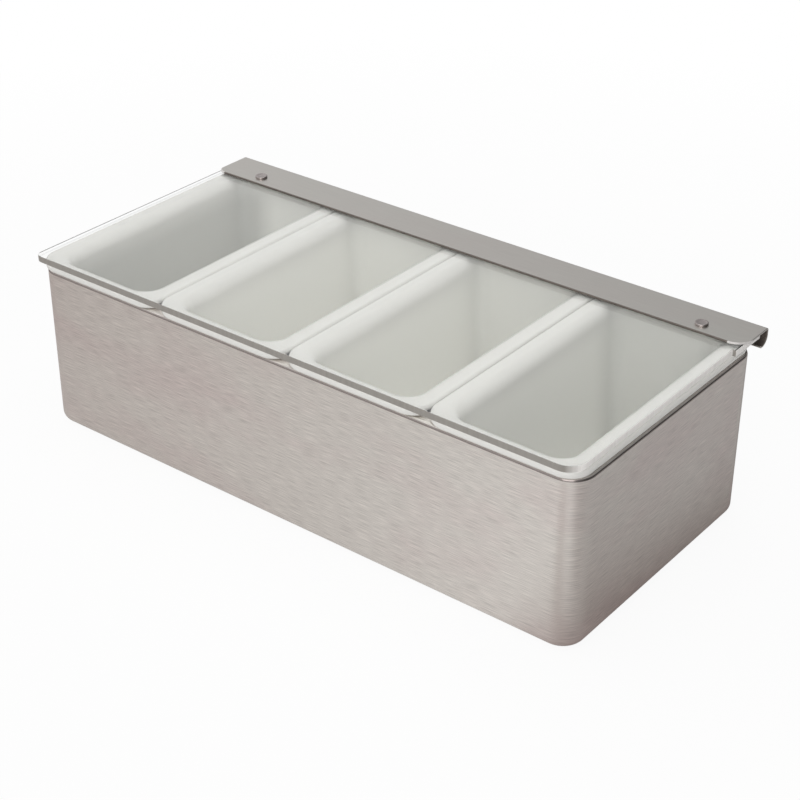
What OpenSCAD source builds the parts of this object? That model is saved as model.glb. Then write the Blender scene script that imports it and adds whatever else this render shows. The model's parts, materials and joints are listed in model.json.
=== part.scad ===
// Condiment caddy: a folded steel box that holds four lift-out pans, under one clear
// lid as wide as the box. A steel strip riveted along the lid's rear edge curls round
// a hinge rod, which three small brackets carry behind the box.
// Millimetres, +Z up, front towards -Y, origin at the middle of the box's underside.

/* [Box] */
// Length of the box, outside, left to right
box_l = 300; // [260:1:360]
// Depth of the box, outside, front to back
box_d = 138.6; // [120:0.2:180]
// Height of the box to the top of its flange
box_h = 82; // [60:0.5:120]
// Thickness of the steel sheet
box_sheet = 0.8; // [0.6:0.1:1.2]
// Outside radius of the four upright corners
box_corner_r = 11; // [7:0.5:14]
// Outside radius of the bend round the bottom edge
box_bottom_r = 5; // [2:0.5:6]
// Outside radius of the bend into the top flange
box_top_r = 1.5; // [1.3:0.1:2]
// Width of the flange that the pans hang on
flange_w = 4.5; // [3:0.1:5]

/* [Pans] */
// Height of a pan, from its underside to the top of its rim
pan_h = 70; // [40:1:75]
// Thickness of a pan's wall
pan_wall = 1.6; // [1:0.1:2.2]
// Slope of a pan's walls, in degrees from upright
pan_draft = 3; // [1:0.5:3.5]
// Radius between a pan's walls and floor, inside
pan_floor_r = 3; // [2:0.5:4]
// Gap between two pans' rims
pan_gap = 0.4; // [0.2:0.1:1]
// How far the outermost rims stay inside the ends of the box
rim_inset = 0.8; // [0.5:0.1:3]
// How far the rims stand out over the front wall
rim_overhang = 0.8; // [0:0.1:1.5]
// How far the rims stop short of the rear wall's outer face
rim_setback = 0.6; // [0.4:0.1:2]
// Thickness of the rim
rim_h = 3.1; // [2.4:0.1:4]
// Radius of the rim's outer corners, in plan
rim_corner_r = 10; // [8:0.5:16]
// Rounding along the rim's outer edge
rim_edge_r = 1.4; // [0.4:0.1:1.5]
// Flat width of the rim along the pan's long sides
side_land = 5.2; // [3:0.1:6]
// Flat width of the rim at the pan's front and rear
end_land = 2.8; // [2:0.1:4]
// Radius where the rim rolls down into the pan
lip_r = 5.5; // [4:0.1:6]
// Radius of the mouth's corners where the flat rim ends, in plan
mouth_corner_r = 12.5; // [12:0.5:20]

/* [Lid] */
// Thickness of the clear plate
lid_t = 3; // [2:0.1:4]
// Gap between the rims and the closed plate
lid_gap = 0.1; // [0.1:0.1:1]
// How far the plate passes the left end of the box
lid_over_left = 0.8; // [0:0.1:2]
// How far the plate stops short of the right end of the box
lid_inset_right = 2; // [1:0.1:4]
// Extra width of the plate at its right rear corner
lid_ear = 1.8; // [0.5:0.1:2]
// Length of that wider part, front to back
lid_ear_l = 21.6; // [10:0.1:30]
// How far the plate passes the front of the box
lid_over_front = 0.7; // [0:0.1:3]
// Radius of the plate's left front corner
lid_corner_left = 4; // [2:0.5:15]
// Radius of the plate's right front corner
lid_corner_right = 8.5; // [2:0.5:15]
// How far the plate's rear edge stays in front of the hinge axis
lid_setback = 0.4; // [0.2:0.1:3]

/* [Hinge strip] */
// Thickness of the strip's steel sheet
strip_t = 0.9; // [0.6:0.1:1.2]
// How far the strip passes the box at each end
strip_over = 1.2; // [0:0.1:3]
// Width of the strip over the plate, from its front edge to its back
strip_w = 22.3; // [18:0.1:30]
// Radius of the strip's left front corner
strip_corner_left = 5; // [2:0.5:12]
// Radius of the strip's right front corner
strip_corner_right = 8; // [2:0.5:12]
// Outside radius of the strip's rear bend
strip_bend_r = 1.3; // [1.1:0.1:2]
// Outside radius of the curl under the rear bend
curl_r = 4.6; // [4.5:0.1:5]
// Angle of the curl, from straight back round to its end
curl_angle = 100; // [80:1:102]
// How far the curl's centre lies in front of the hinge axis
curl_forward = 0.7; // [0.5:0.1:0.8]
// How far the curl's centre lies above the hinge axis
curl_rise = 1.95; // [1.9:0.01:2]

/* [Hinge rod and brackets] */
// Diameter of the hinge rod
rod_d = 3; // [2.4:0.1:3]
// Distance of the rod's axis behind the rear wall's outer face
rod_back = 2.7; // [2.7:0.1:4]
// Running gap between the rod and the plate above it
rod_clear = 0.15; // [0.1:0.01:0.2]
// How far the rod's ends lie inside the ends of the strip
rod_inset = 5; // [1:0.5:20]
// Width of each bracket
bracket_w = 12; // [8:1:20]
// Thickness of each bracket's sheet
bracket_t = 1; // [0.8:0.1:1.5]
// Height of the bracket's leaf on the rear wall
bracket_leaf_h = 18; // [10:1:30]
// Distance from the end of the box to the middle of an outer bracket
bracket_in = 42; // [20:1:90]
// Gap at each side of a bracket, in the curl's notch
notch_gap = 1; // [0.5:0.1:3]
// How far below the hinge axis each notch begins
notch_drop = 0.4; // [0.2:0.1:0.6]

/* [Rivets] */
// Distance of each rivet from the end of the strip
rivet_end_in = 24.2; // [14:0.1:60]
// Distance of the rivets behind the strip's front edge
rivet_in = 7; // [5:0.1:8]
// Diameter of a rivet's head
rivet_head_d = 6; // [4:0.1:8]
// Height of a rivet's head
rivet_head_h = 1; // [0.6:0.1:1.5]
// Diameter of a rivet's shank
rivet_shank_d = 3; // [2:0.1:3.2]
// Diameter of the upset end under the washer
rivet_end_d = 4; // [3.4:0.1:4.4]
// Height of that upset end
rivet_end_h = 0.5; // [0.3:0.1:0.6]
// Gap between a shank and its holes
rivet_clear = 0.1; // [0.05:0.01:0.2]
// Diameter of the washer under the plate
washer_d = 5.4; // [4.8:0.1:5.6]
// Thickness of that washer
washer_t = 0.5; // [0.3:0.1:0.6]

/* [Hidden] */
$fn = 64;

// Straight segments in each arc of the pan's section
ARC_STEPS = 8;
// Number of pans side by side
PAN_COUNT = 4;
// Overlap of a cutting shape past the faces that it cuts through
CUT = 1;
// How far sections run inwards past the corners' centres, so that they overlap
LAP = 2;

// Pans and their rims
rim_top = box_h + rim_h;
pan_l = (box_l - 2 * rim_inset - (PAN_COUNT - 1) * pan_gap) / PAN_COUNT;
pan_d = box_d + rim_overhang - rim_setback;
pan_y = -(rim_overhang + rim_setback) / 2;
mouth_l = pan_l - 2 * side_land;
mouth_d = pan_d - 2 * end_land;

// Lid plate, from below
plate_z = rim_top + lid_gap;
plate_top = plate_z + lid_t;
plate_left = -box_l / 2 - lid_over_left;
plate_right = box_l / 2 - lid_inset_right;
plate_front = -box_d / 2 - lid_over_front;

// Hinge axis and the curl round it
rod_r = rod_d / 2;
axis_y = box_d / 2 + rod_back;
axis_z = plate_z - rod_clear - rod_r;
curl_y = axis_y - curl_forward;
curl_z = axis_z + curl_rise;
plate_rear = axis_y - lid_setback;

// Strip
strip_l = box_l + 2 * strip_over;
strip_top = plate_top + strip_t;
strip_back = curl_y + curl_r;
strip_front = strip_back - strip_w;
rivet_x = strip_l / 2 - rivet_end_in;
rivet_y = strip_front + rivet_in;
bracket_x = box_l / 2 - bracket_in;

// Points along an arc about c, from angle a to angle b
function arc(c, r, a, b) =
    [for (i = [0:ARC_STEPS]) c + r * [cos(a + (b - a) * i / ARC_STEPS), sin(a + (b - a) * i / ARC_STEPS)]];

// Solid whose plan is a rounded rectangle l by d with corner radius r, and whose edge
// has the children's section. The section's x runs outwards from the corners' centres,
// its y is the height, and it begins at x = -LAP with the upright side z to z + h.
module filled(l, d, r, z, h) {
    for (x = [-1, 1], y = [-1, 1])
        translate([x * (l / 2 - r), y * (d / 2 - r), 0]) rotate_extrude() intersection() {
            children();
            translate([0, z]) square([r, h]);
        }
    rotate([90, 0, 0]) linear_extrude(d - 2 * r, center = true) both_sides(l / 2 - r, z, h) children();
    rotate([90, 0, 90]) linear_extrude(l - 2 * r, center = true) both_sides(d / 2 - r, z, h) children();
}

// The section at both ends of a middle that is half_w wide to each side
module both_sides(half_w, z, h) {
    for (side = [0, 1])
        mirror([side, 0]) translate([half_w, 0]) children();
    translate([-half_w, z]) square([2 * half_w, h]);
}

// Section that ends at x_end and is rounded there by low_r below and high_r above
module soft_edge(x_end, z, h, low_r, high_r) {
    translate([-LAP, z]) square([LAP + x_end - low_r, h]);
    translate([-LAP, z + low_r]) {
        square([LAP + x_end - high_r, h - low_r]);
        square([LAP + x_end, h - low_r - high_r]);
    }
    translate([x_end - low_r, z + low_r]) circle(low_r);
    translate([x_end - high_r, z + h - high_r]) circle(high_r);
}

// Rectangle in plan from corner a to corner b, its front corners rounded by the two radii
module front_rounded(a, b, left_r, right_r) {
    size = b - a;
    translate(a + [left_r, 0]) square(size - [left_r + right_r, 0]);
    translate(a + [0, left_r]) square(size - [right_r, left_r]);
    translate(a + [left_r, right_r]) square(size - [left_r, right_r]);
    translate(a + [left_r, left_r]) circle(left_r);
    translate([b[0] - right_r, a[1] + right_r]) circle(right_r);
}

// Quarter of a ring in the first quadrant, the section of a bend in sheet t
module bend(r, t) {
    intersection() {
        difference() {
            circle(r);
            circle(r - t);
        }
        square(r);
    }
}

// ---- Box: walls, rounded bottom and turned-in flange, hollow inside ----

module steel_box() {
    inner_r = box_corner_r - box_sheet;
    inner_h = box_h - 2 * box_sheet;
    mouth_x = box_corner_r - flange_w;
    cut_top = box_h + CUT;
    color("silver") difference() {
        filled(box_l, box_d, box_corner_r, 0, box_h)
            soft_edge(box_corner_r, 0, box_h, box_bottom_r, box_top_r);
        filled(box_l, box_d, box_corner_r, box_sheet, cut_top - box_sheet) {
            soft_edge(inner_r, box_sheet, inner_h, box_bottom_r - box_sheet, box_top_r - box_sheet);
            translate([-LAP, box_sheet]) square([LAP + mouth_x, cut_top - box_sheet]);
        }
    }
}

// ---- Pans: a thick rim, and a shell that rolls down from it to the floor ----

// Centre of the roll at the mouth, and of the fillet round the floor
lip = [mouth_corner_r, rim_top - lip_r];
floor_z = rim_top - pan_h + pan_wall;
wall_top = lip + lip_r * [-cos(pan_draft), sin(pan_draft)];
foot_z = floor_z + pan_floor_r * (1 - sin(pan_draft));
foot_x = wall_top[0] - (wall_top[1] - foot_z) * tan(pan_draft);
foot = [foot_x - pan_floor_r * cos(pan_draft), floor_z + pan_floor_r];

module pan_outside() {
    under_r = lip_r - pan_wall;
    under_angle = 180 - asin((lip_r - rim_h) / under_r);
    under_x = lip[0] + under_r * cos(under_angle);
    rim_middle = box_h + rim_h / 2;
    polygon(concat(
        [[-LAP, floor_z - pan_wall]],
        arc(foot, pan_floor_r + pan_wall, -90, -pan_draft),
        arc(lip, under_r, 180 - pan_draft, under_angle),
        [[under_x, rim_middle], [-LAP, rim_middle]]
    ));
}

module pan_inside() {
    polygon(concat(
        [[-LAP, floor_z]],
        arc(foot, pan_floor_r, -90, -pan_draft),
        arc(lip, lip_r, 180 - pan_draft, 90),
        [[mouth_corner_r, rim_top + CUT], [-LAP, rim_top + CUT]]
    ));
}

// Pans count from 0 at the left
module pan(i) {
    pan_x = (i - (PAN_COUNT - 1) / 2) * (pan_l + pan_gap);
    bottom_z = floor_z - pan_wall;
    color("white") translate([pan_x, pan_y, 0]) difference() {
        union() {
            filled(pan_l, pan_d, rim_corner_r, box_h, rim_h)
                soft_edge(rim_corner_r, box_h, rim_h, rim_edge_r, rim_edge_r);
            filled(mouth_l, mouth_d, mouth_corner_r, bottom_z, box_h + rim_h / 2 - bottom_z)
                pan_outside();
        }
        filled(mouth_l, mouth_d, mouth_corner_r, floor_z, rim_top + CUT - floor_z) pan_inside();
    }
}

// ---- Hinge: rod and brackets, fixed to the box ----

module rod_solid(r, l) {
    translate([0, axis_y, axis_z]) rotate([0, 90, 0]) cylinder(r = r, h = l, center = true);
}

module hinge_rod() {
    color("gray") rod_solid(rod_r, strip_l - 2 * rod_inset);
}

// A leaf flat on the rear wall, with a web turned up at 45 degrees to the rod. The
// web's two faces lie at equal distances from a line through the hinge axis.
module bracket(x) {
    wall_y = box_d / 2;
    leaf_y = wall_y + bracket_t;
    half_rise = bracket_t / 2 * sqrt(2);
    web_z = axis_z - axis_y;
    leaf_foot = web_z + wall_y - bracket_leaf_h;
    color("gray") difference() {
        translate([x - bracket_w / 2, 0, 0]) rotate([90, 0, 90]) linear_extrude(bracket_w)
            polygon([
                [wall_y, leaf_foot], [leaf_y, leaf_foot], [leaf_y, leaf_y + web_z - half_rise],
                [axis_y, axis_z - half_rise], [axis_y, axis_z], [axis_y - half_rise, axis_z],
                [wall_y, wall_y + web_z + half_rise]
            ]);
        rod_solid(rod_r, box_l);
    }
}

// ---- Lid: plate, strip, rivets and washers ----

module at_rivet(side) {
    translate([side * rivet_x, rivet_y, 0]) children();
}

module rivet_holes() {
    for (side = [-1, 1])
        at_rivet(side) translate([0, 0, plate_z - CUT])
            cylinder(d = rivet_shank_d + 2 * rivet_clear, h = strip_top - plate_z + 2 * CUT);
}

module plate_outline() {
    front_rounded([plate_left, plate_front], [plate_right, plate_rear], lid_corner_left, lid_corner_right);
    translate([0, plate_rear - lid_ear_l]) square([plate_right + lid_ear, lid_ear_l]);
}

module lid_plate() {
    color("lightcyan", 0.5) difference() {
        translate([0, 0, plate_z]) linear_extrude(lid_t) plate_outline();
        rivet_holes();
    }
}

// Section across the strip: top sheet, rear bend, back and curl
module strip_section() {
    bend_y = strip_back - strip_bend_r;
    bend_z = strip_top - strip_bend_r;
    reach = 3 * curl_r;
    translate([strip_front, plate_top]) square([bend_y - strip_front, strip_t]);
    translate([bend_y, bend_z]) bend(strip_bend_r, strip_t);
    translate([strip_back - strip_t, curl_z]) square([strip_t, bend_z - curl_z]);
    translate([curl_y, curl_z]) intersection() {
        difference() {
            circle(curl_r);
            circle(curl_r - strip_t);
        }
        polygon([
            [0, 0], [reach, 0], [reach, -reach],
            reach * [cos(-curl_angle), sin(-curl_angle)]
        ]);
    }
}

module strip_outline() {
    front_rounded([-strip_l / 2, strip_front], [strip_l / 2, strip_back + CUT],
        strip_corner_left, strip_corner_right);
}

module hinge_strip() {
    notch_top = axis_z - notch_drop;
    notch_w = bracket_w + 2 * notch_gap;
    notch_h = 2 * curl_r;
    color("silver") difference() {
        intersection() {
            translate([-strip_l / 2, 0, 0]) rotate([90, 0, 90]) linear_extrude(strip_l) strip_section();
            linear_extrude(strip_top + CUT) strip_outline();
        }
        for (x = [-1, 0, 1] * bracket_x)
            translate([x - notch_w / 2, axis_y - 2 * curl_r, notch_top - notch_h])
                cube([notch_w, 4 * curl_r, notch_h]);
        rivet_holes();
    }
}

// A domed head on the strip, a shank and an upset end below the washer
module rivet(side) {
    head_r = rivet_head_d / 2;
    dome_r = (head_r * head_r + rivet_head_h * rivet_head_h) / (2 * rivet_head_h);
    end_z = plate_z - washer_t - rivet_end_h;
    color("gray") at_rivet(side) {
        intersection() {
            translate([0, 0, strip_top + rivet_head_h - dome_r]) sphere(dome_r);
            translate([0, 0, strip_top]) cylinder(r = head_r, h = rivet_head_h + CUT);
        }
        translate([0, 0, end_z]) cylinder(d = rivet_shank_d, h = strip_top - end_z);
        translate([0, 0, end_z]) cylinder(d = rivet_end_d, h = rivet_end_h);
    }
}

module washer(side) {
    color("gray") at_rivet(side) translate([0, 0, plate_z - washer_t]) difference() {
        cylinder(d = washer_d, h = washer_t);
        translate([0, 0, -CUT]) cylinder(d = rivet_shank_d + 2 * rivet_clear, h = washer_t + 2 * CUT);
    }
}

steel_box();
pan(0);  // pan_1
pan(1);  // pan_2
pan(2);  // pan_3
pan(3);  // pan_4
hinge_rod();
bracket(-bracket_x);  // hinge_bracket_left
bracket(0);  // hinge_bracket_centre
bracket(bracket_x);  // hinge_bracket_right
lid_plate();
hinge_strip();
rivet(-1);  // rivet_left
rivet(1);  // rivet_right
washer(-1);  // washer_left
washer(1);  // washer_right
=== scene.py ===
import json
import math
import bpy
import numpy as np
from mathutils import Matrix, Vector


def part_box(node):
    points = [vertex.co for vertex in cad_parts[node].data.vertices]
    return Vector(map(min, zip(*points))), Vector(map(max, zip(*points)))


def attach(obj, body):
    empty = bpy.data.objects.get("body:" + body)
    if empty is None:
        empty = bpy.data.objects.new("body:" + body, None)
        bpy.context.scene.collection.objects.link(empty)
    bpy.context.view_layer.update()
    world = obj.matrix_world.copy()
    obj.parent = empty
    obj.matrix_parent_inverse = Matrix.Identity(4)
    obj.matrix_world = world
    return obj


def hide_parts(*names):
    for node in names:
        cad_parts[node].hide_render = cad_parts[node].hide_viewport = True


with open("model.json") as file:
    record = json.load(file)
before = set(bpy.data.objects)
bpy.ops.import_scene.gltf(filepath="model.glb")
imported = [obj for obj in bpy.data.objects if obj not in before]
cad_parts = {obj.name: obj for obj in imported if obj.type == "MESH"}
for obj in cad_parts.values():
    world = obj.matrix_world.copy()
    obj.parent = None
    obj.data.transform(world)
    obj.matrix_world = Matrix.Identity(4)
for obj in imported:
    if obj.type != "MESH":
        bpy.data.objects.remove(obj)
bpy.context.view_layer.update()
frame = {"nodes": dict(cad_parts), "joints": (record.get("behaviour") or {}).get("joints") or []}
mm = 0.001
sharpAngle = math.radians(40)
print("frame loaded:", len(frame["nodes"]), "nodes")


# Chain of arcs as whole arrays. Each arc is (centre x, centre y, radius, start angle, end
# angle, side): its points are centre + radius * (cos, sin), and its normals are that
# direction times side, -1 where the solid lies outside the arc. The straight stretches
# between arcs get a guard point near both ends, so that flat faces stay flat in shading.
def arcChain(arcs, steps, guard, closed=True):
    x, y, radius, start, end, side = np.array(arcs, float).T[:, :, None]
    angle = np.radians(start + (end - start) * np.linspace(0, 1, steps + 1))
    direction = np.stack([np.cos(angle), np.sin(angle)], -1)
    points = np.stack([x, y], -1) + radius[..., None] * direction
    normals = side[..., None] * direction
    first, last = points[:, 0], points[:, -1]
    ahead = np.roll(first, -1, 0) - last
    reach = np.linalg.norm(ahead, axis=1, keepdims=True)
    lead = ahead / reach * np.minimum(guard, reach / 3)
    before, after = first - np.roll(lead, 1, 0), last + lead
    if not closed:  # open ends run on along their arcs' tangents
        turn = np.sign(end - start) * guard
        before[0] = first[0] - turn[0] * direction[0, 0, ::-1] * (-1, 1)
        after[-1] = last[-1] + turn[-1] * direction[-1, -1, ::-1] * (-1, 1)
    points = np.concatenate([before[:, None], points, after[:, None]], 1)
    normals = np.concatenate([normals[:, :1], normals, normals[:, -1:]], 1)
    return points.reshape(-1, 2), normals.reshape(-1, 2)


# Rounded rectangles as whole arrays, one per row: every corner is a quarter arc of the
# row's radius about its centre, with guard points on the straight sides next to it.
def roundedRows(halfLength, halfDepth, radius, steps, guard):
    signs = np.array([[1, 1], [-1, 1], [-1, -1], [1, -1]])
    angle = np.radians(np.arange(4)[:, None] * 90 + np.linspace(0, 90, steps + 1))
    direction = np.stack([np.cos(angle), np.sin(angle)], -1)
    centres = np.stack([halfLength - radius, halfDepth - radius], -1)[:, None] * signs
    arcs = centres[:, :, None] + radius[:, None, None, None] * direction
    first, last = arcs[:, :, 0], arcs[:, :, -1]
    ahead = np.roll(first, -1, 1) - last
    lead = ahead / np.linalg.norm(ahead, axis=-1, keepdims=True) * guard
    before, after = first - np.roll(lead, 1, 1), last + lead
    rows = np.concatenate([before[:, :, None], arcs, after[:, :, None]], 2)
    return rows.reshape(len(radius), -1, 2)


# Circles as whole arrays, one per row, each point at radius * (cos, sin).
def circleRows(radius, steps):
    angle = np.linspace(0, 2 * np.pi, steps, endpoint=False)
    return radius[:, None, None] * np.stack([np.cos(angle), np.sin(angle)], -1)


# Quads between neighbouring closed rows, as vertex numbers (rows - 1, columns, 4).
def rowQuads(rowCount, columnCount):
    here = np.arange(rowCount * columnCount).reshape(rowCount, columnCount)
    right = np.roll(here, -1, 1)
    return np.stack([here[:-1], right[:-1], right[1:], here[1:]], -1)


# Mesh from rows of points (rows, columns, 3). Quads join the rows, flat faces close both
# ends, and the map holds metres along the columns and across the rows, so that a grain
# keeps its scale. alongRows turns the map, where the grain runs from row to row.
def makeMesh(name, rows, quads=None, extraFaces=(), alongRows=False):
    rowCount, columnCount = rows.shape[:2]
    points = rows.reshape(-1, 3)
    quads = rowQuads(rowCount, columnCount).reshape(-1, 4) if quads is None else quads
    lastRow = np.arange(columnCount) + (rowCount - 1) * columnCount
    faces = [*quads.tolist(), np.arange(columnCount)[::-1].tolist(), lastRow.tolist()]
    faces += [face.tolist() for face in extraFaces]
    mesh = bpy.data.meshes.new(name)
    mesh.from_pydata(points.tolist(), [], faces)
    stepRound = np.linalg.norm(np.roll(rows, -1, 1) - rows, axis=-1).max(0)
    stepAcross = np.linalg.norm(np.diff(rows, axis=0), axis=-1).max(1)
    roundMetres = np.concatenate([[0], np.cumsum(stepRound)])
    acrossMetres = np.concatenate([[0], np.cumsum(stepAcross)])
    corner = np.zeros(len(mesh.loops), int)
    mesh.loops.foreach_get("vertex_index", corner)
    column, row = corner % columnCount, corner // columnCount
    quadColumns = column[:quads.size].reshape(-1, 4)
    wraps = (quadColumns.max(1) == columnCount - 1) & (quadColumns.min(1) == 0)
    quadColumns[wraps] = np.where(quadColumns[wraps] == 0, columnCount, quadColumns[wraps])
    column[:quads.size] = quadColumns.ravel()
    mapPoints = np.stack([roundMetres[column], acrossMetres[row]], -1)
    uvMap = mesh.uv_layers.new(name="surface")
    uvMap.data.foreach_set("uv", (mapPoints[:, ::-1] if alongRows else mapPoints).ravel())
    mesh.polygons.foreach_set("use_smooth", np.ones(len(mesh.polygons), bool))
    mesh.set_sharp_from_angle(angle=sharpAngle)
    piece = bpy.data.objects.new(name, mesh)
    bpy.context.scene.collection.objects.link(piece)
    return piece


def nodeBox(node):
    low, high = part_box(node)
    return np.array(low), np.array(high)


# Rows of points in plan, each row lifted to its own height.
def lifted(plan, up):
    return np.concatenate([plan, np.broadcast_to(up[:, None, None], plan.shape[:2] + (1,))], -1)


# The z of every face's normal or centre.
def faceZ(piece, key):
    values = np.zeros(3 * len(piece.data.polygons))
    piece.data.polygons.foreach_get(key, values)
    return values[2::3]


def dress(piece, body, node, material):
    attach(piece, body)
    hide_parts(node)
    piece.data.materials.append(material)


# Further materials after the first, and the number of each face's own.
def paintFaces(piece, materials, numbers):
    for material in materials:
        piece.data.materials.append(material)
    piece.data.polygons.foreach_set("material_index", numbers.astype(int))


def addNode(tree, kind, at, **settings):
    node = tree.nodes.new(kind)
    node.location = at
    for key, value in settings.items():
        setattr(node, key, value)
    return node


# A socket takes another socket's value, or a constant of its own.
def feed(tree, socket, value):
    if isinstance(value, bpy.types.NodeSocket):
        tree.links.new(value, socket)
    elif socket.type == "RGBA":
        socket.default_value = (*value, 1)
    else:
        socket.default_value = value


def feedAll(tree, node, values):
    for key, value in values.items():
        feed(tree, node.inputs[key], value)


def feedInOrder(tree, node, values):
    for socket, value in zip(node.inputs, values):
        feed(tree, socket, value)


def mathNode(tree, operation, values, at, clamp=False):
    node = addNode(tree, "ShaderNodeMath", at, operation=operation, use_clamp=clamp)
    feedInOrder(tree, node, values)
    return node.outputs["Value"]


def vectorNode(tree, operation, values, at, output="Vector"):
    node = addNode(tree, "ShaderNodeVectorMath", at, operation=operation)
    feedInOrder(tree, node, values)
    return node.outputs[output]


# A colour made brighter or darker by a factor.
def shadeNode(tree, colour, factor, at):
    node = addNode(tree, "ShaderNodeVectorMath", at, operation="SCALE")
    feedAll(tree, node, {0: colour, "Scale": factor})
    return node.outputs["Vector"]


# One span of values carried over to another, evenly or eased at both ends.
def spanNode(tree, source, span, at, result=(0.0, 1.0), eased=False):
    node = addNode(tree, "ShaderNodeMapRange", at, interpolation_type="SMOOTHSTEP" if eased else "LINEAR")
    limits = zip(("From Min", "From Max", "To Min", "To Max"), (*span, *result))
    feedAll(tree, node, {"Value": source, **dict(limits)})
    return node.outputs["Result"]


# Colours along a ramp, as stops of (place, colour).
def rampNode(tree, source, stops, at):
    ramp = addNode(tree, "ShaderNodeValToRGB", at)
    elements = ramp.color_ramp.elements
    for element, (place, colour) in zip(elements, (stops[0], stops[-1])):
        element.position = place
        element.color = (*colour, 1)
    for place, colour in stops[1:-1]:
        elements.new(place).color = (*colour, 1)
    feed(tree, ramp.inputs["Fac"], source)
    return ramp.outputs["Color"]


def mixColours(tree, share, first, second, at, blend="MIX"):
    node = addNode(tree, "ShaderNodeMix", at, data_type="RGBA", blend_type=blend)
    feedAll(tree, node, {"Factor": share, "A": first, "B": second})
    return node.outputs["Result"]


def noiseNode(tree, place, scale, at, detail=2.0, roughness=0.5):
    node = addNode(tree, "ShaderNodeTexNoise", at)
    feedAll(tree, node, {"Vector": place, "Scale": scale, "Detail": detail, "Roughness": roughness})
    return node.outputs


def bumpNode(tree, height, strength, distance, at):
    node = addNode(tree, "ShaderNodeBump", at)
    feedAll(tree, node, {"Height": height, "Strength": strength, "Distance": distance})
    return node.outputs["Normal"]


def placeNode(tree, kind="Object"):
    return addNode(tree, "ShaderNodeTexCoord", (-1700, 0)).outputs[kind]


def splitNode(tree, vector, at):
    node = addNode(tree, "ShaderNodeSeparateXYZ", at)
    feed(tree, node.inputs["Vector"], vector)
    return node.outputs


# Two shaders mixed by a share, as the surface of a material or of the world.
def mixSurface(tree, share, first, second, output="Material Output"):
    mix = addNode(tree, "ShaderNodeMixShader", (420, 100))
    feedInOrder(tree, mix, (share, first, second))
    tree.links.new(mix.outputs["Shader"], tree.nodes[output].inputs["Surface"])


def newMaterial(name):
    material = bpy.data.materials.new(name)
    material.use_nodes = True
    tree = material.node_tree
    return material, tree, tree.nodes["Principled BSDF"]


noiseSpan = (0.3, 0.7)  # most of a noise's values lie here
plasticIndex = 1.49
grainLook = {
    "streakDetail": 3.0, "streakRoughness": 0.6, "bumpDistance": 0.1 * mm, "pull": 0.006,
    "cloudShape": (0.4, 1.0, 1.0), "cloudDetail": 6.0, "cloudRoughness": 0.65,
}


# Brushed grain: a noise stretched along U gives fine streaks, and another one, its edges
# pulled by the streaks, gives slow clouds. Outputs both and a bumped normal.
def grainGroup():
    look = grainLook
    group = bpy.data.node_groups.new("brushedGrain", "ShaderNodeTree")
    sockets = (
        ("INPUT", "NodeSocketVector", ("Vector",)),
        ("INPUT", "NodeSocketFloat", ("Streaks Per Metre", "Stretch", "Depth", "Clouds Per Metre")),
        ("OUTPUT", "NodeSocketFloat", ("Streaks", "Clouds")),
        ("OUTPUT", "NodeSocketVector", ("Normal",)),
    )
    for way, kind, names in sockets:
        for name in names:
            group.interface.new_socket(name, in_out=way, socket_type=kind)
    source = addNode(group, "NodeGroupInput", (-900, 0)).outputs
    result = addNode(group, "NodeGroupOutput", (700, 0))
    perMetre = source["Streaks Per Metre"]
    squeeze = mathNode(group, "DIVIDE", (perMetre, source["Stretch"]), (-700, -150))
    scales = addNode(group, "ShaderNodeCombineXYZ", (-520, -120))
    feedAll(group, scales, {"X": squeeze, "Y": perMetre, "Z": squeeze})
    stretched = vectorNode(group, "MULTIPLY", (source["Vector"], scales.outputs["Vector"]), (-340, 0))
    streaks = noiseNode(group, stretched, 1.0, (-140, 120), look["streakDetail"], look["streakRoughness"])
    pulled = addNode(group, "ShaderNodeMix", (-340, -160), data_type="VECTOR")
    feedAll(group, pulled, {"Factor": look["pull"], "A": source["Vector"], "B": streaks["Color"]})
    longer = vectorNode(group, "MULTIPLY", (pulled.outputs["Result"], look["cloudShape"]), (-180, -160))
    clouds = noiseNode(group, longer, source["Clouds Per Metre"], (0, -160),
                       look["cloudDetail"], look["cloudRoughness"])
    normal = bumpNode(group, streaks["Fac"], source["Depth"], look["bumpDistance"], (320, -100))
    feedAll(group, result, {"Streaks": streaks["Fac"], "Clouds": clouds["Fac"], "Normal": normal})
    return group


brushedGrain = grainGroup()


# Brushed steel from the grain: the clouds move the colour between a warm and a cool grey,
# the streaks brighten and darken it and change the roughness.
def brushedSteel(name, look):
    material, tree, shader = newMaterial(name)
    surfaceMap = addNode(tree, "ShaderNodeUVMap", (-1100, 0), uv_map="surface")
    grain = addNode(tree, "ShaderNodeGroup", (-880, 0), node_tree=brushedGrain)
    feedAll(tree, grain, {"Vector": surfaceMap.outputs["UV"], **look["grain"]})
    warmPlace, coolPlace = look["cloudEdge"]
    tone = rampNode(tree, grain.outputs["Clouds"],
                    [(warmPlace, look["warm"]), (coolPlace, look["cool"])], (-640, 250))
    streaks, contrast = grain.outputs["Streaks"], look["contrast"]
    light = spanNode(tree, streaks, noiseSpan, (-640, 0), (1 - contrast, 1 + contrast))
    rough = spanNode(tree, streaks, noiseSpan, (-640, -260), (look["smooth"], look["rough"]))
    feedAll(tree, shader, {
        "Base Color": shadeNode(tree, tone, light, (-300, 200)), "Metallic": 1.0,
        "Roughness": rough, "Normal": grain.outputs["Normal"],
    })
    return material


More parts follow.
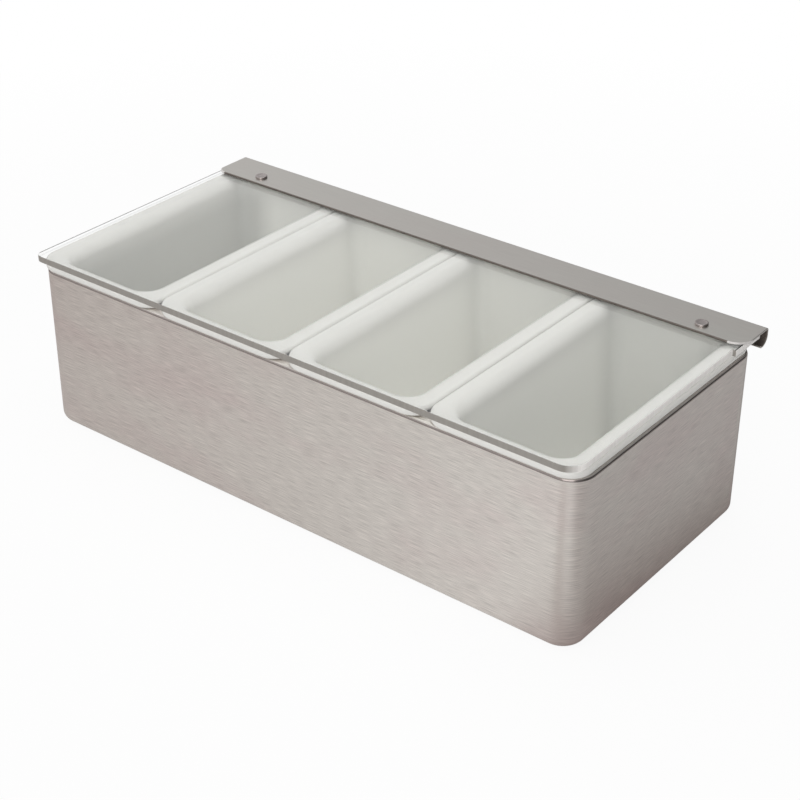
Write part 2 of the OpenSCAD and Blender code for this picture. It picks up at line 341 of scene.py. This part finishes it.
boxSteel = brushedSteel("boxSteel", {
    "warm": (0.680, 0.618, 0.590), "cool": (0.705, 0.672, 0.632), "cloudEdge": (0.35, 0.53),
    "contrast": 0.24, "smooth": 0.34, "rough": 0.46,
    "grain": {"Streaks Per Metre": 3800, "Stretch": 36, "Depth": 0.25, "Clouds Per Metre": 22},
})
stripSteel = brushedSteel("stripSteel", {
    "warm": (0.60, 0.57, 0.54), "cool": (0.60, 0.585, 0.55), "cloudEdge": (0.4, 0.65),
    "contrast": 0.05, "smooth": 0.30, "rough": 0.36,
    "grain": {"Streaks Per Metre": 2600, "Stretch": 40, "Depth": 0.1, "Clouds Per Metre": 20},
})


# A fine noise in object space moves the colour from dark to light and, where the look has
# a "smooth", the roughness from smooth to rough: satin and polished steel, and dark and
# pale steel that stands as painted shade and painted highlight.
def fineMetal(name, look):
    material, tree, shader = newMaterial(name)
    noise = noiseNode(tree, placeNode(tree), look["scale"], (-500, 0))["Fac"]
    rough = look["rough"]
    if "smooth" in look:
        rough = spanNode(tree, noise, (0, 1), (-260, -120), (look["smooth"], rough))
    feedAll(tree, shader, {
        "Base Color": rampNode(tree, noise, [(0, look["dark"]), (1, look["light"])], (-260, 120)),
        "Metallic": look["metallic"], "Roughness": rough,
    })
    return material


rivetSteel = fineMetal("rivetSteel", {
    "dark": (0.36, 0.32, 0.31), "light": (0.52, 0.47, 0.46),
    "smooth": 0.14, "rough": 0.24, "metallic": 1.0, "scale": 900,
})
rolledSteel = fineMetal("rolledSteel", {  # polished top bend of the box's rim, darkened as painted shade and dark reflection
    "dark": (0.32, 0.28, 0.265), "light": (0.39, 0.345, 0.33),
    "smooth": 0.12, "rough": 0.20, "metallic": 1.0, "scale": 300,
})
plainSteel = fineMetal("plainSteel", {
    "dark": (0.50, 0.49, 0.48), "light": (0.62, 0.61, 0.60),
    "smooth": 0.28, "rough": 0.42, "metallic": 1.0, "scale": 600,
})
dullSteel = fineMetal("dullSteel", {  # dark brown-grey, painted shade under the strip, inside its curl and along its front edge
    "dark": (0.13, 0.11, 0.095), "light": (0.20, 0.17, 0.15),
    "rough": 0.42, "metallic": 0.45, "scale": 300,
})
cutSteel = fineMetal("cutSteel", {  # pale metal, a painted highlight on the strip's front edge round its corners
    "dark": (0.70, 0.67, 0.65), "light": (0.80, 0.78, 0.76),
    "rough": 0.30, "metallic": 0.35, "scale": 900,
})


# White plastic with a fine moulded skin. Its walls carry painted light, paler than its rim,
# and painted shade, darker at the box's ends and, more and more towards the right, along
# its rear.
def panPlastic(look):
    material, tree, shader = newMaterial("panPlastic")
    place = placeNode(tree)
    skin = noiseNode(tree, place, look["skinScale"], (-500, 0), look["skinDetail"])["Fac"]
    rimTone = rampNode(tree, skin, [(0, look["dark"]), (1, look["light"])], (-260, 140))
    parts = splitNode(tree, place, (-700, 420))
    outward = mathNode(tree, "ABSOLUTE", (parts["X"],), (-600, 560))
    atRim = spanNode(tree, parts["Z"], look["rimFrom"], (-440, 320), eased=True)
    atEnd = spanNode(tree, outward, look["endFrom"], (-440, 560), eased=True)
    atRear = spanNode(tree, parts["Y"], look["rearFrom"], (-440, 800), eased=True)
    rightward = spanNode(tree, parts["X"], look["rightward"], (-440, 1040), (0, look["rearShare"]))
    rear = mathNode(tree, "MULTIPLY", (atRear, rightward), (-260, 800))
    shadeShare = mathNode(tree, "MAXIMUM", (atEnd, rear), (-260, 640))
    # painted shade on the walls, mixed into their painted light
    walls = mixColours(tree, shadeShare, look["lit"], look["backed"], (-260, 460))
    feedAll(tree, shader, {
        "Base Color": mixColours(tree, atRim, walls, rimTone, (0, 200)), "IOR": plasticIndex,
        "Roughness": spanNode(tree, skin, (0, 1), (-260, -60), (look["smooth"], look["rough"])),
        "Normal": bumpNode(tree, skin, look["skinDepth"], look["bumpDistance"], (-260, -300)),
    })
    return material


whitePlastic = panPlastic({
    "dark": (0.775, 0.765, 0.735), "light": (0.79, 0.78, 0.75), "smooth": 0.15, "rough": 0.22,
    "skinScale": 90, "skinDetail": 3.0, "skinDepth": 0.02, "bumpDistance": 0.2 * mm,
    "lit": (0.94, 0.935, 0.89), "backed": (0.56, 0.56, 0.53),
    "rimFrom": (70 * mm, 85 * mm), "endFrom": (114 * mm, 136 * mm), "rearFrom": (38 * mm, 60 * mm),
    "rightward": (-140 * mm, 140 * mm), "rearShare": 0.6,
})


# Clear acrylic: glass that lets shadow rays through, tinted by its own thickness.
def clearAcrylic(look):
    material, tree, shader = newMaterial("clearAcrylic")
    haze = noiseNode(tree, placeNode(tree), look["hazeScale"], (-500, 0))["Fac"]
    feedAll(tree, shader, {
        "Base Color": look["tint"], "Transmission Weight": 1.0, "IOR": plasticIndex,
        "Roughness": spanNode(tree, haze, (0, 1), (-260, -60), (look["smooth"], look["rough"])),
    })
    passing = addNode(tree, "ShaderNodeBsdfTransparent", (100, -300))
    feed(tree, passing.inputs["Color"], look["shadowTint"])
    path = addNode(tree, "ShaderNodeLightPath", (100, 400)).outputs
    mixSurface(tree, path["Is Shadow Ray"], shader.outputs["BSDF"], passing.outputs["BSDF"])
    return material


acrylic = clearAcrylic({
    "tint": (0.985, 0.988, 0.982), "shadowTint": (0.9, 0.91, 0.9),
    "smooth": 0.0, "rough": 0.02, "hazeScale": 60,
})


# The plate's sawn edge. Light that runs inside the plate leaves the long sides grey and
# the ends pale, and fine saw marks stand upright on both. Seen from inside the plate the
# edge is clear but for a thin dark line along its top.
def sawnEdge(look):
    material, tree, shader = newMaterial("cutEdge")
    share = addNode(tree, "ShaderNodeAttribute", (-800, 250), attribute_name="endShare")
    sidePlace, endPlace = look["turn"]
    tone = rampNode(tree, share.outputs["Fac"],
                    [(sidePlace, look["longSide"]), (endPlace, look["end"])], (-560, 250))
    place = placeNode(tree)
    behind = addNode(tree, "ShaderNodeNewGeometry", (-600, 760)).outputs["Backfacing"]
    upward = splitNode(tree, place, (-800, 560))["Z"]
    belowLine = spanNode(tree, upward, look["lineFrom"], (-600, 560), (1, 0))
    clear = mathNode(tree, "MULTIPLY", (behind, belowLine), (-400, 560))
    squash = addNode(tree, "ShaderNodeMapping", (-800, -50))
    feedAll(tree, squash, {"Vector": place, "Scale": look["markShape"]})
    marks = noiseNode(tree, squash.outputs["Vector"], look["marksPerMetre"], (-600, -50))["Fac"]
    depth = look["markDepth"]
    light = spanNode(tree, marks, noiseSpan, (-400, -50), (1 - depth, 1 + depth))
    outside = shadeNode(tree, tone, light, (-200, 200))
    feedAll(tree, shader, {
        "Base Color": mixColours(tree, behind, outside, look["line"], (0, 350)),
        "Alpha": mathNode(tree, "SUBTRACT", (1.0, clear), (-200, 560)),
        "Normal": bumpNode(tree, marks, look["markBump"], look["bumpDistance"], (-200, -250)),
        "Roughness": look["rough"], "IOR": plasticIndex,
    })
    return material


cutEdge = sawnEdge({
    "longSide": (0.30, 0.28, 0.255), "end": (0.97, 0.94, 0.91), "turn": (0.15, 0.85),
    "line": (0.13, 0.125, 0.12), "lineFrom": (86.6 * mm, 87.1 * mm),
    "marksPerMetre": 700, "markShape": (1.0, 1.0, 0.06), "markDepth": 0.06, "markBump": 0.2,
    "bumpDistance": 0.1 * mm, "rough": 0.3,
})
print("materials ready")

boxShape = {
    "cornerRadius": 11 * mm, "bottomRadius": 5 * mm, "topRadius": 1.5 * mm,
    "flangeWidth": 4.5 * mm, "sheet": 0.8 * mm, "edgeRound": 0.25 * mm,
    "rolledSlopes": (0.1, 0.75),  # z of the normals where the polished top bend gets painted shade
    "arcSteps": 10, "cornerSteps": 16, "guard": 0.6 * mm,
}


# Underside, bottom bend, wall, top bend, flange and back down inside, as one section
# carried round the rounded rectangle. A section point's x is the corner radius there.
def buildBox():
    shape = boxShape
    halfLength, halfDepth, height = nodeBox("steel_box")[1]
    corner, sheet, edge = shape["cornerRadius"], shape["sheet"], shape["edgeRound"]
    bottom, top = shape["bottomRadius"], shape["topRadius"]
    bottomX, topX, topZ = corner - bottom, corner - top, height - top
    edgeX = corner - shape["flangeWidth"] + edge
    section, _ = arcChain([
        (bottomX, bottom, bottom, -90, 0, 1),
        (topX, topZ, top, 0, 90, 1),
        (edgeX, height - edge, edge, 90, 180, 1),
        (edgeX, height - sheet + edge, edge, 180, 270, 1),
        (topX, topZ, top - sheet, 90, 0, -1),
        (bottomX, bottom, bottom - sheet, 0, -90, -1),
    ], shape["arcSteps"], shape["guard"], closed=False)
    out, up = section.T
    plan = roundedRows(halfLength - corner + out, halfDepth - corner + out, out,
                       shape["cornerSteps"], shape["guard"])
    piece = makeMesh("brushedBox", lifted(plan, up))
    dress(piece, "caddy", "steel_box", boxSteel)
    slope = faceZ(piece, "normal")
    least, most = shape["rolledSlopes"]
    # faces of the top bend that get painted shade and dark reflection
    shadedRim = (slope > least) & (slope < most) & (faceZ(piece, "center") > topZ)
    paintFaces(piece, [rolledSteel], shadedRim)


buildBox()
print("steel box built")

panShape = {
    "rimHeight": 3.1 * mm, "rimEdge": 1.4 * mm, "rimCorner": 10 * mm,
    "sideLand": 5.2 * mm, "endLand": 2.8 * mm, "lipRadius": 5.5 * mm, "mouthCorner": 12.5 * mm,
    "wall": 1.6 * mm, "draft": 3, "floorRadius": 3 * mm,  # draft in degrees
    "arcSteps": 10, "cornerSteps": 12, "guard": 0.3 * mm,
}


# Underside of the shell, rim all round, then the roll at the mouth, the sloped wall and the
# floor fillet. Rim rows keep to the rim's outline, the other rows to the mouth's.
def buildPan(node, name):
    shape = panShape
    low, high = nodeBox(node)
    centre, half = (low + high) / 2, (high - low) / 2
    rimTop, rimLow = high[2], high[2] - shape["rimHeight"]
    lipX, lipZ = shape["mouthCorner"], rimTop - shape["lipRadius"]
    lip, wall, fillet, slope = shape["lipRadius"], shape["wall"], shape["floorRadius"], shape["draft"]
    angle = math.radians(slope)
    sine, cosine, tangent = math.sin(angle), math.cos(angle), math.tan(angle)
    wallX, wallZ = lipX - lip * cosine, lipZ + lip * sine
    footZ = low[2] + wall + fillet
    footX = wallX - (wallZ - footZ + fillet * sine) * tangent - fillet * cosine
    underRadius = lip - wall
    underAngle = 180 - math.degrees(math.asin((rimLow - lipZ) / underRadius))
    edge, rimX = shape["rimEdge"], shape["rimCorner"] - shape["rimEdge"]
    arcs = (
        [(footX, footZ, fillet + wall, -90, -slope, 1),
         (lipX, lipZ, underRadius, 180 - slope, underAngle, -1)],
        [(rimX, rimLow + edge, edge, -90, 0, 1),
         (rimX, rimTop - edge, edge, 0, 90, 1)],
        [(lipX, lipZ, lip, 90, 180 - slope, 1),
         (footX, footZ, fillet, -slope, -90, -1)],
    )
    under, rim, inside = (arcChain(pair, shape["arcSteps"], shape["guard"], closed=False)[0]
                          for pair in arcs)
    under = under[:-1]  # the roll ends on the rim's underside, without a guard
    mouth = half[:2] - (shape["sideLand"], shape["endLand"]) - shape["mouthCorner"]
    outer = half[:2] - shape["rimCorner"]
    reach = np.repeat([mouth, outer, mouth], (len(under), len(rim), len(inside)), 0)
    out, up = np.concatenate([under, rim, inside]).T
    plan = roundedRows(reach[:, 0] + out, reach[:, 1] + out, out, shape["cornerSteps"], shape["guard"])
    dress(makeMesh(name, lifted(plan + centre[:2], up)), "caddy", node, whitePlastic)


for number in range(1, 5):
    buildPan(f"pan_{number}", f"whitePan{number}")
print("pans built")

lidShape = {
    "leftCorner": 4 * mm, "rightCorner": 8.5 * mm, "smallCorner": 0.8 * mm, "ear": 1.8 * mm,
    "earLength": 21.6 * mm, "edgeRound": 0.3 * mm,
    "edgeSlope": 0.97,  # faces whose normal has less z than this, up or down, are edge
    "arcSteps": 10, "edgeSteps": 4, "guard": 0.5 * mm,
}


# Plan outline as a chain of corner arcs, stepped out at the right rear, lifted through a
# section with softly rounded edges: each row is the outline moved in along its normals.
# The attribute endShare is the square of the outline normal's x: 1 on the plate's ends
# and 0 on its long sides.
def buildLid():
    shape = lidShape
    low, high = nodeBox("lid_plate")
    left, front = shape["leftCorner"], shape["rightCorner"]
    small, edge = shape["smallCorner"], shape["edgeRound"]
    right, stepY = high[0] - shape["ear"], high[1] - shape["earLength"]
    outline, normals = arcChain([
        (low[0] + left, low[1] + left, left, 180, 270, 1),
        (right - front, low[1] + front, front, 270, 360, 1),
        (right + small, stepY - small, small, 180, 90, -1),
        (high[0] - small / 2, stepY + small / 2, small / 2, 270, 360, 1),
        (high[0] - small, high[1] - small, small, 0, 90, 1),
        (low[0] + small, high[1] - small, small, 90, 180, 1),
    ], shape["arcSteps"], shape["guard"])
    section, _ = arcChain([
        (-edge, low[2] + edge, edge, -90, 0, 1),
        (-edge, high[2] - edge, edge, 0, 90, 1),
    ], shape["edgeSteps"], shape["guard"], closed=False)
    out, up = section.T
    piece = makeMesh("clearLid", lifted(outline + out[:, None, None] * normals, up))
    share = np.tile(normals[:, 0] ** 2, len(section))
    piece.data.attributes.new("endShare", "FLOAT", "POINT").data.foreach_set("value", share)
    dress(piece, "lid", "lid_plate", acrylic)
    paintFaces(piece, [cutEdge], np.abs(faceZ(piece, "normal")) < shape["edgeSlope"])


buildLid()
print("clear lid built")

stripShape = {
    "sheet": 0.9 * mm, "leftCorner": 5 * mm, "rightCorner": 8 * mm, "bendRadius": 1.3 * mm,
    "curlRadius": 4.6 * mm, "curlForward": 0.7 * mm, "curlRise": 1.95 * mm, "edgeRound": 0.3 * mm,
    "curlAngle": 100, "notchStep": 2,  # in degrees
    "endInset": 0.85,  # how far the section moves in at the ends, as a share of edgeRound
    "notchWidth": 14 * mm, "notchDrop": 0.4 * mm, "bracketX": 108 * mm,
    "arcSteps": 12, "cornerSteps": 12, "endSteps": 5, "guard": 0.4 * mm,
}
hinge = next(joint for joint in frame["joints"] if joint["name"] == "lid_hinge")
axisY, axisZ = hinge["pos_m"][1], hinge["pos_m"][2]


# Stations from the straight part out to one end of the strip: round the front corner, then
# round the sheet's own edge. Gives x from the middle, how far the front edge draws back by
# the corner's circle, and how far the section moves in along its normals.
def stripEnd(half, corner, edge):
    shape = stripShape
    swing = np.linspace(0, math.asin(1 - edge / corner), shape["cornerSteps"])
    lean = np.radians(np.linspace(0, 90, shape["endSteps"]))[1:]
    x = np.concatenate([half - corner + corner * np.sin(swing), half - edge + edge * np.sin(lean)])
    past = np.clip(x - (half - corner), 0, corner)
    inset = np.concatenate([np.zeros(len(swing)), shape["endInset"] * edge * (1 - np.cos(lean))])
    return x, corner - np.sqrt(corner ** 2 - past ** 2), inset


# One closed loop across the strip, from the top sheet round its front edge, back under it,
# down inside the curl and up the outside, carried from end to end. Faces inside the
# notches are left out.
def buildStrip():
    shape = stripShape
    low, high = nodeBox("hinge_strip")
    sheet, bend, curl, edge = (shape[key] for key in ("sheet", "bendRadius", "curlRadius", "edgeRound"))
    frontY, top, turn, step = low[1] + edge, high[2], -shape["curlAngle"], shape["notchStep"]
    bendY, bendZ = high[1] - bend, top - bend
    curlY, curlZ = axisY - shape["curlForward"], axisZ + shape["curlRise"]
    cosine, sine = math.cos(math.radians(turn)), math.sin(math.radians(turn))
    radial, along = np.array([cosine, sine]), np.array([sine, -cosine])
    tail = np.array([curlY, curlZ]) - along * edge
    tailOuter, tailInner = tail + radial * (curl - edge), tail + radial * (curl - sheet + edge)
    notchRise = axisZ - shape["notchDrop"] - curlZ
    radii = (curl - sheet, curl)
    splitIn, splitOut = (math.degrees(math.asin(notchRise / radius)) for radius in radii)
    stopIn, stopOut = (turn + math.degrees(edge / radius) for radius in radii)
    loop, normals = arcChain([
        (frontY, top - edge, edge, 90, 180, 1),
        (frontY, top - sheet + edge, edge, 180, 270, 1),
        (bendY, bendZ, bend - sheet, 90, 0, -1),
        (curlY, curlZ, curl - sheet, 0, splitIn, -1),
        (curlY, curlZ, curl - sheet, splitIn - step, stopIn, -1),
        (*tailInner, edge, turn - 180, turn - 90, 1),
        (*tailOuter, edge, turn - 90, turn, 1),
        (curlY, curlZ, curl, stopOut, splitOut - step, 1),
        (curlY, curlZ, curl, splitOut, 0, 1),
        (bendY, bendZ, bend, 0, 90, 1),
    ], shape["arcSteps"], shape["guard"])
    perArc = shape["arcSteps"] + 3  # points of an arc with its two guards
    notchIn, notchOut = 4 * perArc - 2, 8 * perArc + 1  # arc 3's last point and arc 8's first
    notches = shape["bracketX"] * np.array([-1, 0, 1])
    notchEdges = (notches[:, None] + shape["notchWidth"] / 2 * np.array([-1, 1])).ravel()
    leftX, leftBack, leftInset = stripEnd(high[0], shape["leftCorner"], edge)
    rightX, rightBack, rightInset = stripEnd(high[0], shape["rightCorner"], edge)
    straight = np.zeros(len(notchEdges))
    stations = np.concatenate([-leftX[::-1], notchEdges, rightX])
    drawBack = np.concatenate([leftBack[::-1], straight, rightBack])
    inset = np.concatenate([leftInset[::-1], straight, rightInset])
    section = loop - inset[:, None, None] * normals
    section[:, :2 * perArc, 0] += drawBack[:, None]  # the front edge alone
    x = np.broadcast_to(stations[:, None, None], section.shape[:2] + (1,))
    columnCount = len(loop)
    quads = rowQuads(len(stations), columnCount)
    inNotch = np.zeros(quads.shape[:2], bool)
    sides = []
    lower = np.arange(notchIn, notchOut + 1)
    for edgeX in notchEdges[::2]:  # both side faces and the cut through the sheet
        station = int(np.argmin(np.abs(stations - edgeX)))
        inNotch[station, notchIn:notchOut] = True
        start, end = station * columnCount, (station + 1) * columnCount
        sides += [start + lower, end + lower[::-1]]
        sides.append(np.array([start + notchIn, start + notchOut, end + notchOut, end + notchIn]))
    kept = quads[~inNotch]
    rows = np.concatenate([x, section], -1)
    piece = makeMesh("hingeStrip", rows, kept, sides, alongRows=True)
    dress(piece, "lid", "hinge_strip", stripSteel)
    column = (kept % columnCount).max(1)
    row = kept[:, 0] // columnCount
    atCorner = (row < len(leftX) - 1) | (row >= len(leftX) + len(notchEdges))
    numbers = np.zeros(len(piece.data.polygons), int)
    numbers[:len(kept)] = column < 5 * perArc  # painted shade on the front edge, underside and inner curl
    numbers[:len(kept)][atCorner & (column < 2 * perArc)] = 2  # painted highlight on the front edge round the corners
    paintFaces(piece, [dullSteel, cutSteel], numbers)


buildStrip()
print("hinge strip built")

rivetShape = {
    "headRadius": 3 * mm, "headHeight": 1 * mm, "rimRound": 0.3 * mm, "shankRadius": 1.5 * mm,
    "endRadius": 2 * mm, "endHeight": 0.5 * mm, "edgeRound": 0.12 * mm,
    "dish": ((2.1 * mm, 0.02 * mm), (1.785 * mm, 0.12 * mm), (0.84 * mm, 0.13 * mm)),  # (radius, depth)
    "arcSteps": 6, "guard": 0.1 * mm, "steps": 48,
}


# Upset end, shank, head with a rounded rim and a shallow dish, as one profile turned
# about the rivet's upright axis.
def buildRivet(node, name):
    shape = rivetShape
    low, high = nodeBox(node)
    centre = (low + high) / 2
    edge, rim, head, end = (shape[key] for key in ("edgeRound", "rimRound", "headRadius", "endRadius"))
    shank, endTop, seat = shape["shankRadius"], low[2] + shape["endHeight"], high[2] - shape["headHeight"]
    profile, _ = arcChain([
        (end - edge, low[2] + edge, edge, -90, 0, 1),
        (end - edge, endTop - edge, edge, 0, 90, 1),
        (shank + edge, endTop + edge, edge, 270, 180, -1),
        (shank + edge, seat - edge, edge, 180, 90, -1),
        (head - edge, seat + edge, edge, -90, 0, 1),
        (head - rim, high[2] - rim, rim, 0, 90, 1),
    ], shape["arcSteps"], shape["guard"], closed=False)
    dish = np.array([0, high[2]]) + np.array(shape["dish"]) * (1, -1)
    out, up = np.concatenate([profile, dish]).T
    plan = circleRows(out, shape["steps"]) + centre[:2]
    dress(makeMesh(name, lifted(plan, up)), "lid", node, rivetSteel)


buildRivet("rivet_left", "rivetLeft")
buildRivet("rivet_right", "rivetRight")
print("rivets built")

for node in ("hinge_rod", "hinge_bracket_left", "hinge_bracket_centre", "hinge_bracket_right",
             "washer_left", "washer_right"):
    frame["nodes"][node].data.materials.clear()
    frame["nodes"][node].data.materials.append(plainSteel)

stageLook = {
    "floorSize": 6.0, "floorColour": (0.92, 0.92, 0.92), "floorRough": 0.9,
    "cameraWhite": 1.0, "shadowShare": 0.08, "glossyShare": 0.56, "white": (1.0, 1.0, 1.0),
    "whiteFrom": (0.25, 0.6),  # metres from the middle, where the shadow's share fades out
    "sky": (0.16, 0.88), "horizon": (0.05, 0.45),  # strength on the dark side and the pale side
    "paleSide": (-0.8, -0.6, 0.0), "sideFrom": (-0.9, 0.5), "skyFrom": (0.0, 0.35),
}
# Painted light and shade in what metal sees of the floor, as tones multiplied: a painted pool
# of light, paler towards the front's right end and further ahead of it, painted shade, darker
# and warmer past the right side, and a painted shadow, darker again beside its foot. Each stop
# is (metres, colour), the metres along "way" or, for the foot, to either side of "middle" along it.
paintedFloorShading = {
    "along": {"way": (1, 0, 0), "stops": [
        (-0.30, (0.67, 0.62, 0.61)), (0.0, (0.85, 0.84, 0.835)), (0.12, (1.0, 1.0, 1.0))]},
    "ahead": {"way": (0, -1, 0), "stops": [(0.07, (0.92, 0.91, 0.91)), (0.17, (1.0, 1.0, 1.0))]},
    "past": {"way": (1, 1, 0), "stops": [
        (0.06, (1.0, 1.0, 1.0)), (0.125, (0.61, 0.58, 0.575)), (0.26, (0.65, 0.65, 0.65))]},
    "foot": {"way": (1, 0, 0), "middle": 0.15, "stops": [
        (0.0, (0.62, 0.57, 0.56)), (0.04, (1.0, 1.0, 1.0))]},
}


# One of the painted floor shades: metres along a direction, turned into a colour by a ramp.
def paintedFloorShade(tree, place, look, y):
    metres = vectorNode(tree, "DOT_PRODUCT", (place, look["way"]), (-1500, y), "Value")
    if "middle" in look:
        aside = mathNode(tree, "SUBTRACT", (metres, look["middle"]), (-1300, y))
        metres = mathNode(tree, "ABSOLUTE", (aside,), (-1150, y))
    first, last = look["stops"][0][0], look["stops"][-1][0]
    stops = [((metre - first) / (last - first), colour) for metre, colour in look["stops"]]
    return rampNode(tree, spanNode(tree, metres, (first, last), (-980, y)), stops, (-800, y))


# Pale floor: plain diffuse for the light that falls on the object. The camera and clear
# surfaces see it mostly white, with a share of the diffuse floor and its shadow near the
# object, and metal sees the painted light and shade above in the same way.
def buildFloor():
    look = stageLook
    size = look["floorSize"] / 2
    mesh = bpy.data.meshes.new("floor")
    corners = [(-size, -size, 0), (size, -size, 0), (size, size, 0), (-size, size, 0)]
    mesh.from_pydata(corners, [], [(0, 1, 2, 3)])
    floor = bpy.data.objects.new("floor", mesh)
    bpy.context.scene.collection.objects.link(floor)
    material, tree, shader = newMaterial("paleFloor")
    place = placeNode(tree)
    places = range(0, -300 * len(paintedFloorShading), -300)
    tones = [paintedFloorShade(tree, place, toneLook, y) for y, toneLook in zip(places, paintedFloorShading.values())]
    tone = tones[0]
    for y, nextTone in zip(places[1:], tones[1:]):
        tone = mixColours(tree, 1.0, tone, nextTone, (-560, y), "MULTIPLY")
    path = addNode(tree, "ShaderNodeLightPath", (-700, 500)).outputs
    isGlossy, isTransmission = path["Is Glossy Ray"], path["Is Transmission Ray"]
    mirrored = mathNode(tree, "SUBTRACT", (isGlossy, isTransmission), (-560, 300), clamp=True)
    seenTone = mixColours(tree, mirrored, look["white"], tone, (-400, 0))
    feedAll(tree, shader, {
        "Base Color": mixColours(tree, 1.0, look["floorColour"], seenTone, (-150, 0), "MULTIPLY"),
        "Roughness": look["floorRough"], "Specular IOR Level": 0.0,
    })
    glow = addNode(tree, "ShaderNodeEmission", (100, -300))
    feedAll(tree, glow, {"Color": seenTone, "Strength": look["cameraWhite"]})
    away = vectorNode(tree, "LENGTH", (place,), (-700, 750), "Value")
    white = spanNode(tree, away, look["whiteFrom"], (-450, 750), (1 - look["shadowShare"], 1))
    seen = mathNode(tree, "MAXIMUM", (path["Is Camera Ray"], isTransmission), (-400, 450))
    share = mathNode(tree, "MULTIPLY", (seen, white), (-150, 400))
    shown = mathNode(tree, "MULTIPLY_ADD", (isGlossy, look["glossyShare"], share), (50, 400), clamp=True)
    mixSurface(tree, shown, shader.outputs["BSDF"], glow.outputs["Emission"])
    mesh.materials.append(material)


# World: white to the camera, and where the camera sees it through the lid. The light it
# gives is dim at the horizon, fuller in the sky, and pales from the back right to the
# front left.
def buildWorld():
    look = stageLook
    world = bpy.data.worlds.new("studio")
    world.use_nodes = True
    bpy.context.scene.world = world
    tree = world.node_tree
    place = placeNode(tree, "Generated")
    side = vectorNode(tree, "DOT_PRODUCT", (place, look["paleSide"]), (-1000, -150), "Value")
    horizon = spanNode(tree, side, look["sideFrom"], (-800, -300), look["horizon"], eased=True)
    sky = spanNode(tree, side, look["sideFrom"], (-800, -50), look["sky"], eased=True)
    upward = splitNode(tree, place, (-1000, 200))["Z"]
    rise = spanNode(tree, upward, look["skyFrom"], (-800, 200), eased=True)
    level = addNode(tree, "ShaderNodeMix", (-500, 0))
    feedAll(tree, level, {"Factor": rise, "A": horizon, "B": sky})
    light, white = tree.nodes["Background"], addNode(tree, "ShaderNodeBackground", (0, -200))
    feedAll(tree, light, {"Color": look["white"], "Strength": level.outputs["Result"]})
    feedAll(tree, white, {"Color": look["white"]})
    path = addNode(tree, "ShaderNodeLightPath", (-200, 300)).outputs
    straight = mathNode(tree, "LESS_THAN", (path["Diffuse Depth"], 0.5), (-100, 500))  # no bounce yet
    through = mathNode(tree, "MULTIPLY", (path["Is Transmission Ray"], straight), (20, 400))
    seen = mathNode(tree, "MAXIMUM", (path["Is Camera Ray"], through), (120, 300))
    mixSurface(tree, seen, light.outputs["Background"], white.outputs["Background"], "World Output")


lampLooks = {
    "keyLight": {"place": (0.60, -1.25, 1.0), "size": 1.2, "power": 6.3},
    "nearLight": {"place": (0.06, 0.10, 0.75), "size": 0.5, "power": 1.1},
}


def buildLamp(name, look):
    data = bpy.data.lights.new(name, "AREA")
    data.shape = "SQUARE"
    data.size = look["size"]
    data.energy = look["power"]
    lamp = bpy.data.objects.new(name, data)
    lamp.location = look["place"]
    lamp.rotation_euler = (-Vector(look["place"])).to_track_quat("-Z", "Y").to_euler()
    bpy.context.scene.collection.objects.link(lamp)


cameraView = {
    "lens": 79.58, "azimuth": 38.01, "elevation": 30.53, "roll": 0.181, "distance": 832.09 * mm,
    "shiftRight": 7.85 * mm, "shiftUp": 28.13 * mm, "nearest": 10 * mm,
}


# The camera stands at the given azimuth and elevation round the origin, moved in its own
# plane so that the caddy sits in the frame.
def buildCamera():
    view = cameraView
    azimuth, elevation, roll = (math.radians(view[key]) for key in ("azimuth", "elevation", "roll"))
    back = Vector((math.sin(azimuth) * math.cos(elevation), -math.cos(azimuth) * math.cos(elevation),
                   math.sin(elevation)))
    level = Vector((math.cos(azimuth), math.sin(azimuth), 0))
    upright = back.cross(level)
    right = level * math.cos(roll) + upright * math.sin(roll)
    up = upright * math.cos(roll) - level * math.sin(roll)
    place = back * view["distance"] + right * view["shiftRight"] + up * view["shiftUp"]
    data = bpy.data.cameras.new("camera")
    data.lens = view["lens"]
    data.clip_start = view["nearest"]
    camera = bpy.data.objects.new("camera", data)
    turn = Matrix((right, up, back)).transposed().to_4x4()
    camera.matrix_world = Matrix.Translation(place) @ turn
    bpy.context.scene.collection.objects.link(camera)
    bpy.context.scene.camera = camera


buildFloor()
buildWorld()
for lampName, lampLook in lampLooks.items():
    buildLamp(lampName, lampLook)
buildCamera()
bpy.context.scene.view_settings.view_transform = "Standard"
print("stage built")
